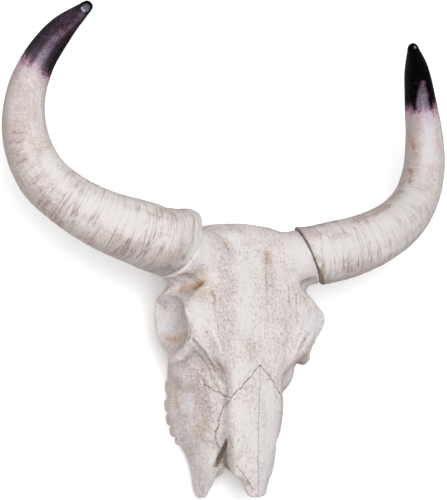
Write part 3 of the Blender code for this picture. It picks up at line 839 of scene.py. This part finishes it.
def ringed(face, at):
    """Makes the wall of a sheath round and adds its growth rings."""
    rings = sum(height * lumps(at.wrap * scale, 1, seed) for height, scale, seed in HORN_RINGS)
    flutes = 0.25 * lumps(at.wrap * (1.6, 1.6, 1 / 60), 1, 14)
    worn = ramp(at.share, 0.72, 0.35)
    radius = at.radius * 0.985 + rings * (0.15 + 0.85 * worn) + flutes - 0.2
    height = dot(face - at.middle, at.tangent)
    moved = at.middle + at.direction * radius[:, None] + at.tangent * height[:, None]
    wall = ramp(at.from_rim, 0.8, 2.2) * at.before_end
    return face + (moved - face) * wall[:, None]


def left_end(at, chip):
    """The open rim of the left sheath: its lip, its chips, and no joint to the bone."""
    upper = ramp(at.direction[:, 1], 0.3, 0.8)
    lip = ramp(at.from_rim, 5, 1) * ramp(at.facing, -0.2, 0.3) * (0.5 + 0.9 * upper)
    chip = chip + 3.5 * ramp(-at.direction[:, 1], 0.55, 0.95)
    return lip, chip, np.zeros(len(lip))


def right_end(at, chip):
    """The end of the right sheath runs into the bone, but has a collar on its upper side."""
    upper = ramp(at.lateral, 0.45, 0.9)
    taper = 7.2 * ramp(at.from_rim, 40, 0) * ramp(at.facing, -0.1, 0.45)
    from_end = np.clip(at.from_rim, 0, 12) / 12
    shoulder = 1 - np.sqrt(1 - (1 - from_end) ** 2)
    waist = np.exp(-(((at.from_rim - 44) / 10) ** 2))
    collar = 3.6 * ramp(at.from_rim, 28, 12) - 9 * shoulder - 1.4 * waist
    chip = 0.2 * chip + 5 * upper - 1.3 * (at.facing > -0.2) * (1 - upper)
    uneven = 3 * lumps(at.wrap * (0.8, 0.8, 0.2), 1, 17)
    base = ramp(at.from_rim + uneven, 16, 2) * (1 - 0.8 * upper)
    return collar * upper - taper * (1 - upper), chip, base


def horn_piece(node, step):
    """A fine copy of a sheath: round, with growth rings and a chipped rim."""
    piece = copy_of_node(node, node + "_sheath")
    remesh(piece, step)
    smooth(piece, SHEATH_SMOOTHING)
    face = to_face(get_points(piece))
    at = about_axis(node, face)
    face = ringed(face, at)
    chip = 1.2 * np.clip(lumps(at.wrap * (0.9, 0.9, 0.02), 1, 15), 0, 1)
    chip += 0.5 * np.clip(lumps(at.wrap * 2.6, 1, 16), 0, 1)
    swell, chip, base = (left_end if node == "horn_left" else right_end)(at, chip)
    face += at.direction * (swell * at.outer)[:, None]
    face += at.tangent * (chip * ramp(at.from_rim, 7, 0.5) * at.outer)[:, None]
    ragged = 3.0 * (lumps(face, 5, 18) + lumps(face, 12, 19))
    set_points(piece, to_world(face))
    dark_from, slant = TIP_START[node]
    masks = {
        "share": at.share,
        "tip": at.share - (dark_from - slant * at.lateral),
        "base": base,
        "sheen": along_paths(face, TIP_SHEEN[node], 0.3 * ragged),
        "rim": ramp(at.from_rim, 1.3, 0.4) * (1 - base),
        # Sides that turn away from z, where the material paints shade.
        "side": ramp(at.direction[:, 2], 0.9, 0.1),
    }
    for name, (path, half) in (("facet", TIP_FACET[node]), ("glint", TIP_GLINT[node])):
        masks[name] = ramp(distance_to_path(face, path + path[-1:]), half * 1.3, half * 0.7)
    for name, rows in HORN_WEAR[node].items():
        masks[name] = along_paths(face, rows, ragged)
    set_masks(piece, masks)
    layer = piece.data.attributes.new("wrap", "FLOAT_VECTOR", "POINT")
    layer.data.foreach_set("vector", at.wrap.astype(np.float32).ravel())
    return piece


# ---- materials


def part_of(colour, share):
    """A share of a colour: darker below 1, lighter above."""
    return [c * share for c in colour]


class Socket:
    """A shader socket that can be added, multiplied and so on like a number."""

    def __init__(self, shader, socket):
        self.shader = shader
        self.socket = socket

    def maths(self, operation, *values, clamp=False):
        node = self.shader.tree.nodes.new("ShaderNodeMath")
        node.operation = operation
        node.use_clamp = clamp
        for i, value in enumerate(values):
            self.shader.feed(node.inputs[i], value)
        return Socket(self.shader, node.outputs[0])

    def __add__(self, other):
        return self.maths("ADD", self, other)

    __radd__ = __add__

    def __sub__(self, other):
        return self.maths("SUBTRACT", self, other)

    def __rsub__(self, other):
        return self.maths("SUBTRACT", other, self)

    def __mul__(self, other):
        return self.maths("MULTIPLY", self, other)

    __rmul__ = __mul__

    def __abs__(self):
        return self.maths("ABSOLUTE", self)

    def clamped(self):
        return self.maths("ADD", self, 0.0, clamp=True)

    def ramp(self, low, high):
        """0 at low and 1 at high, smoothly."""
        kind = {"interpolation_type": "SMOOTHSTEP"}
        sockets = {"Value": self, "From Min": low, "From Max": high}
        return self.shader.node("ShaderNodeMapRange", kind, sockets, "Result")


class Shader:
    """A material, its nodes, and its colour as far as it has been laid."""

    def __init__(self, name, colour):
        self.material = bpy.data.materials.new(name)
        self.material.use_nodes = True
        self.tree = self.material.node_tree
        self.surface = self.tree.nodes["Principled BSDF"]
        self.colour = colour

    def feed(self, socket, value):
        if isinstance(value, Socket):
            self.tree.links.new(value.socket, socket)
        elif socket.type == "RGBA":
            socket.default_value = (*value, 1.0)
        else:
            socket.default_value = value

    def node(self, kind, settings, sockets, output=0):
        node = self.tree.nodes.new(kind)
        for key, value in settings.items():
            setattr(node, key, value)
        for key, value in sockets.items():
            self.feed(node.inputs[key], value)
        return Socket(self, node.outputs[output])

    def mask(self, name, output="Fac"):
        return self.node("ShaderNodeAttribute", {"attribute_name": name}, {}, output)

    def masks(self, *names):
        return [self.mask(name) for name in names]

    def scaled(self, vector, scale):
        return self.node("ShaderNodeMapping", {}, {"Vector": vector, "Scale": scale})

    def place(self, scale=(1, 1, 1)):
        """Object coordinates in millimetres, stretched by a scale."""
        here = self.node("ShaderNodeTexCoord", {}, {}, "Object")
        return self.scaled(here, [s / MM for s in scale])

    def noise(self, vector, scale, detail, roughness):
        sockets = {"Vector": vector, "Scale": scale, "Detail": detail, "Roughness": roughness}
        return self.node("ShaderNodeTexNoise", {}, sockets, "Fac")

    def blend(self, amount, first, second):
        """Mixes two colours. The amount is clamped."""
        node = self.tree.nodes.new("ShaderNodeMix")
        node.data_type = "RGBA"
        colours = [s for s in node.inputs if s.type == "RGBA"]
        self.feed(node.inputs["Factor"], amount)
        self.feed(colours[0], first)
        self.feed(colours[1], second)
        return Socket(self, next(s for s in node.outputs if s.type == "RGBA"))

    def coat(self, amount, colour, share=None):
        """Lays a colour, or a share of it, over what is there."""
        over = part_of(colour, share) if share else colour
        self.colour = self.blend(amount, self.colour, over)

    def bump(self, height, distance, strength):
        sockets = {"Height": height, "Distance": distance, "Strength": strength}
        return self.node("ShaderNodeBump", {}, sockets, "Normal")

    def connect(self, name, value):
        self.feed(self.surface.inputs[name], value)

    def finish(self, gloss, roughness, normal):
        """The material of a piece, with its colour and the rest on its surface."""
        self.connect("Base Color", self.colour)
        self.connect("Specular IOR Level", gloss)
        self.connect("Roughness", roughness)
        self.connect("Normal", normal)
        return self.material


def bone_material(settings):
    worn, pale = settings.wash_colour, settings.bone_colour
    s = Shader("weathered_bone", pale)
    hollow, crevice, stain, seam = s.masks("hollow", "crevice", "stain", "seam")
    lilac, tooth, settled, side = s.masks("lilac", "tooth", "wash", "side")
    clean, dark, crazed = s.masks("clean", "dark", "crazed")

    # Noise from coarse to fine, and the same drawn out from nose to poll.
    here = s.place()
    patches = s.noise(here, 0.05, 4, 0.6)
    mottle = s.noise(here, 0.26, 3, 0.7)
    grain = s.noise(here, 0.55, 2, 0.7)
    streaks = s.noise(s.place((1, 0.14, 1)), 0.3, 3, 0.6)
    flecks = s.noise(s.place((1, 0.6, 1)), 0.42, 2, 0.7)
    slits = s.noise(s.place((1, 0.22, 1)), 0.22, 2, 0.6)
    net = s.noise(here, 0.3, 1, 0.5)

    # The wash settles in low places and adds painted shade on the sides; the bleached places,
    # partly a painted highlight, stay free of it.
    clean = (clean * 0.8 + (patches - 0.5) * 0.6).clamped()
    wash = settled * 0.5 + (patches - 0.5) * 1.2 + (streaks - 0.5) + hollow * 0.4 + side * 0.2
    wash = (wash + 0.25 - clean * 0.5).clamped()
    busy = wash * 0.7 + 0.2
    fine = (mottle - 0.5) * 2.6 + (grain - 0.5) * 2.0
    s.coat((wash + fine * (wash * 0.8 + 0.2)).ramp(0.1, 1.3) * 0.85, worn)
    s.coat(clean * 0.6, BLEACH_AND_HIGHLIGHT_TINT)
    s.coat(lilac * (patches + mottle).ramp(0.6, 1.15) * 0.55, settings.lilac_colour)
    s.coat(flecks.ramp(0.54, 0.64) * busy * 0.85, worn, 0.62)

    # Fine cracks.
    slits = abs(slits - 0.5).ramp(0.022, 0.004)
    slits = slits * ((patches * 0.6 + mottle * 0.4).ramp(0.47, 0.6) * busy + crazed)
    s.coat(slits * 0.6, CREVICE)
    net = abs(net - 0.5).ramp(0.03, 0.006) * mottle.ramp(0.42, 0.58)
    s.coat(net * crazed * 0.75, CREVICE, 1.1)

    # Grain, painted shade on the sides, painted shade and dirt in the crevices, and a painted
    # highlight on the ridges.
    s.coat(grain.ramp(0.48, 0.3) * busy * 0.45, pale, 1.15)
    s.coat(grain.ramp(0.52, 0.7) * busy * 0.65, worn, 0.75)
    s.coat(side * (patches * 0.9 - 0.1).clamped(), worn, 0.62)
    s.coat(crevice.ramp(0.3, 1.0) * 0.5, CREVICE)
    s.coat((0 - crevice).ramp(0.3, 1.0) * 0.4, pale, 1.15)

    # Stains, painted shade in holes and creases, teeth and sutures.
    broken = (mottle * 0.6 + grain * 0.4 - 0.5) * 3.0
    dirt = stain + stain * broken * 0.9
    s.coat(dirt * 0.85, s.blend(dirt.ramp(0.5, 1.1), settings.stain_colour, RUST))
    s.coat((dark * (broken * 0.4 + 0.95)).clamped() * 0.9, HOLE_SHADE)
    s.coat(tooth * 0.5, TOOTH)
    s.coat(seam * (mottle.ramp(0.3, 0.6) * 0.6 + 0.3), CREVICE, 0.8)
    height = (grain * 0.6 + mottle * 0.6 + streaks * 0.4) * (1 - clean * 0.6)
    return s.finish(BONE_GLOSS, grain * 0.25 + 0.6, s.bump(height, BONE_GRAIN, 0.8))


def horn_material(settings):
    worn, pale = settings.wash_colour, settings.bone_colour
    s = Shader("weathered_horn", settings.horn_colour)
    share, side, tip, base, rim = s.masks("share", "side", "tip", "base", "rim")
    clean, grime, olive, brown, rosy = s.masks("clean", "grime", "olive", "brown", "pink")
    sheen, facet, glint = s.masks("sheen", "facet", "glint")

    def wrapped(around, along, detail, roughness):
        """Noise that is stretched around or along the sheath."""
        wrap = s.mask("wrap", "Vector")
        return s.noise(s.scaled(wrap, (around, around, along)), 1.0, detail, roughness)

    here = s.place()
    patches = s.noise(here, 0.035, 4, 0.6)
    mottle = s.noise(here, 0.26, 3, 0.7)
    grain = s.noise(here, 0.55, 2, 0.7)
    rings = wrapped(0.22, 0.34, 3, 0.7)
    hairs = wrapped(0.13, 0.24, 1, 0.5)
    gaps = wrapped(0.45, 0.1, 2, 0.6)
    lengthwise = wrapped(1.3, 0.014, 3, 0.6)
    basal = share.ramp(0.72, 0.3)
    dull = 1 - base * 0.8

    # The wash also adds painted shade on the sides, and less of it lies on the bleached band with
    # its painted highlight.
    wash = (patches - 0.5) * 1.2 + (lengthwise - 0.5) * 1.1 + rosy * 0.6 + grime * 0.3 + side * 0.25
    wash = (wash - clean * 0.45 + share.ramp(0.3, 0.65) * 0.25 + 0.35).clamped()
    fine = (mottle - 0.5) * 1.8 + (grain - 0.5) * 1.4 + (rings - 0.5) * 1.4 * basal
    s.coat((wash + fine * (wash * 0.7 + 0.2) * dull).ramp(0.15, 1.2), worn)
    # Bleached bands, partly a painted highlight along the sheath.
    s.coat(clean * 0.45, BLEACH_AND_HIGHLIGHT_TINT)

    # Growth rings with fine dark scratches along them, and grain.
    shown = ((basal * 0.42 + 0.08) * (1 - clean * 0.75) + grime * 0.5) * dull
    s.coat(rings.ramp(0.52, 0.68) * shown * 0.8, worn, 0.55)
    hairline = abs(hairs - 0.5).ramp(0.045, 0.012) * gaps.ramp(0.45, 0.56)
    s.coat(hairline * shown.clamped(), SCRATCH)
    deep = abs(hairs - 0.58).ramp(0.035, 0.01) * gaps.ramp(0.48, 0.58) * grime
    s.coat(deep * 0.85, SCRATCH, 0.8)
    s.coat(grain.ramp(0.48, 0.3) * shown * 0.5, pale, 1.15)
    s.coat(grain.ramp(0.54, 0.72) * (wash * 0.4 + 0.1) * dull, worn, 0.7)

    # Painted shade on the sides, with dark specks there, then olive dirt, brown smudges and a dirty
    # rim.
    s.coat((lengthwise * 0.6 + mottle * 0.4).ramp(0.56, 0.66) * side * 0.35, SCRATCH)
    s.coat(side * 0.5, worn, 0.55)
    blotches = (mottle * 0.6 + grain * 0.4 - 0.5) * 3.0 + 1
    s.coat(olive * blotches * 0.7, OLIVE)
    smudge = brown * ((lengthwise - 0.5) * 5.0 + blotches * 1.4 - 0.5)
    s.coat((smudge * 0.75).clamped() * 0.85, BROWN)
    s.coat(smudge.ramp(0.9, 1.5) * 0.6, SCRATCH, 0.75)
    s.coat(rim * (mottle.ramp(0.3, 0.6) * 0.4 + 0.1), CREVICE, 0.7)

    # The ragged edge of the dark tip: lavender, then pink, then dark.
    ragged = tip + (mottle - 0.5) * 0.05 + (patches - 0.5) * 0.05 + (grain - 0.5) * 0.03
    ragged = ragged + (lengthwise - 0.5) * 0.03 - sheen * 0.022
    s.coat(ragged.ramp(-0.2, -0.04) * clean * 1.2, HAZE)
    s.coat(ragged.ramp(-0.07, -0.01) * sheen * 0.5, HAZE, 0.8)
    s.coat(ragged.ramp(-0.065, -0.02) * 0.3 + ragged.ramp(-0.03, 0.0) * 0.5, ROSE)

    # The dark tip, under a broken violet veil where it shines.
    flecks = (mottle - 0.5) * 1.4 + (grain - 0.5) * 1.4 + (patches - 0.5) * 0.8
    veil = (sheen * (flecks * 0.9 + 0.8)).clamped()
    violet = s.blend((mottle + grain + patches).ramp(1.25, 1.75), PLUM, VIOLET)
    violet = s.blend(ragged.ramp(0.07, 0.0) * 0.55, violet, part_of(HAZE, 0.62))
    dark = s.blend(veil, settings.tip_colour, violet)
    glitter = (grain * 0.6 + mottle * 0.4).ramp(0.56, 0.68) * ragged.ramp(0.2, 0.02)
    dark = s.blend(glitter * 0.6, dark, PLUM)
    fringe = ragged.ramp(0.022, 0.0) * (1 - veil)
    s.coat(ragged.ramp(-0.018, 0.01), s.blend(fringe, dark, PLUM))
    s.coat(facet * (mottle.ramp(0.3, 0.6) * 0.5 + 0.4), FACET)
    s.coat(glint * 0.8, GLINT)
    height = rings * 0.7 * dull + hairs * 0.5 * basal * dull + grain * 0.25
    rough = 0.62 - tip.ramp(-0.01, 0.02) * 0.12 + grain * 0.15
    return s.finish(HORN_GLOSS, rough, s.bump(height, HORN_GRAIN, 0.7))


def floor_material():
    s = Shader("pale_floor", FLOOR_TONES[0])
    s.coat(s.noise(s.place(), 0.004, 2, 0.5), FLOOR_TONES[1])
    s.connect("Base Color", s.colour)
    s.connect("Roughness", 0.9)
    s.connect("Emission Color", (1, 1, 1))
    s.connect("Emission Strength", FLOOR_GLOW)
    return s.material


def clothe(piece, material):
    """Shades a piece smooth and gives it a material."""
    pick(piece)
    bpy.ops.object.shade_smooth()
    piece.data.materials.clear()
    piece.data.materials.append(material)


# ---- operators


class SKULL_OT_bones(bpy.types.Operator):
    """Makes the fine surface of every bone and puts it in place of the plain one."""

    bl_idname = "skull.bones"
    bl_label = "Bones and teeth"

    def execute(self, context):
        settings = context.scene.skull
        guide = smooth_whole(settings.step)
        polygons = [p.vertices[:] for p in guide.data.polygons]
        low = hollowness(guide, HOLLOW_SMOOTHING)[np.array(polygons)].mean(axis=1)
        tree = BVHTree.FromPolygons([v.co for v in guide.data.vertices], polygons)
        finish = bone_material(settings)
        for node in BONES:
            step = settings.step * STEP_SHARE[node.split("_")[0]]
            piece = bone_piece(node, guide, tree, low, step)
            clothe(piece, finish)
            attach(piece, "root")
            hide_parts(node)
        bpy.data.objects.remove(guide)
        return {"FINISHED"}


class SKULL_OT_horns(bpy.types.Operator):
    """Makes the two ringed and scratched horn sheaths with their dark tips."""

    bl_idname = "skull.horns"
    bl_label = "Horn sheaths"

    def execute(self, context):
        settings = context.scene.skull
        finish = horn_material(settings)
        for node in ("horn_left", "horn_right"):
            piece = horn_piece(node, settings.step)
            clothe(piece, finish)
            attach(piece, "root")
            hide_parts(node)
        return {"FINISHED"}


class SKULL_OT_stage(bpy.types.Operator):
    """Sets up the pale floor, the soft lights and the camera."""

    bl_idname = "skull.stage"
    bl_label = "Stage"

    def execute(self, context):
        settings = context.scene.skull
        bpy.ops.object.select_all(action="DESELECT")
        bpy.ops.mesh.primitive_plane_add(size=FLOOR_SIZE, location=(0, 0, -FLOOR_DROP))
        floor = context.active_object
        floor.name = "floor"
        clothe(floor, floor_material())

        world = bpy.data.worlds.new("soft_room")
        world.use_nodes = True
        background = world.node_tree.nodes["Background"]
        background.inputs["Color"].default_value = (1, 1, 1, 1)
        background.inputs["Strength"].default_value = ROOM_LIGHT
        context.scene.world = world
        for name, place, size, power in LAMPS:
            bpy.ops.object.light_add(type="AREA", location=place)
            lamp = context.active_object
            lamp.name = name
            lamp.data.shape = "DISK"
            lamp.data.size = size
            lamp.data.energy = power
            lamp.rotation_mode = "QUATERNION"
            aim = Vector(LAMP_TARGET) - Vector(place)
            lamp.rotation_quaternion = aim.to_track_quat("-Z", "Y")

        right, up, ahead = turn_to_world(CAMERA_AXES)
        bpy.ops.object.camera_add(location=(0, 0, 0))
        camera = context.active_object
        camera.name = "camera"
        turn = Matrix((right, up, -ahead)).transposed().to_4x4()
        camera.matrix_world = Matrix.Translation(to_world([CAMERA_PLACE])[0]) @ turn
        camera.data.lens = settings.lens
        camera.data.sensor_width = SENSOR_WIDTH
        camera.data.clip_end = CLIP_END
        context.scene.camera = camera
        context.scene.view_settings.view_transform = "Standard"
        return {"FINISHED"}


class SKULL_PT_panel(bpy.types.Panel):
    """Lists the settings and the steps of the skull."""

    bl_label = "Cow skull"
    bl_idname = "SKULL_PT_panel"
    bl_space_type = "VIEW_3D"
    bl_region_type = "UI"
    bl_category = "Skull"

    def draw(self, context):
        layout = self.layout
        settings = context.scene.skull
        for key in settings.bl_rna.properties.keys():
            if key not in ("rna_type", "name"):
                layout.prop(settings, key)
        for operator in OPERATORS:
            layout.operator(operator.bl_idname)


OPERATORS = (SKULL_OT_bones, SKULL_OT_horns, SKULL_OT_stage)
CLASSES = (SkullSettings, *OPERATORS, SKULL_PT_panel)


def register():
    for cls in CLASSES:
        bpy.utils.register_class(cls)
    bpy.types.Scene.skull = bpy.props.PointerProperty(type=SkullSettings)


def unregister():
    del bpy.types.Scene.skull
    for cls in reversed(CLASSES):
        bpy.utils.unregister_class(cls)


def main():
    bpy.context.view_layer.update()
    register()
    bpy.ops.skull.bones()
    bpy.ops.skull.horns()
    bpy.ops.skull.stage()


if __name__ == "__main__":
    main()
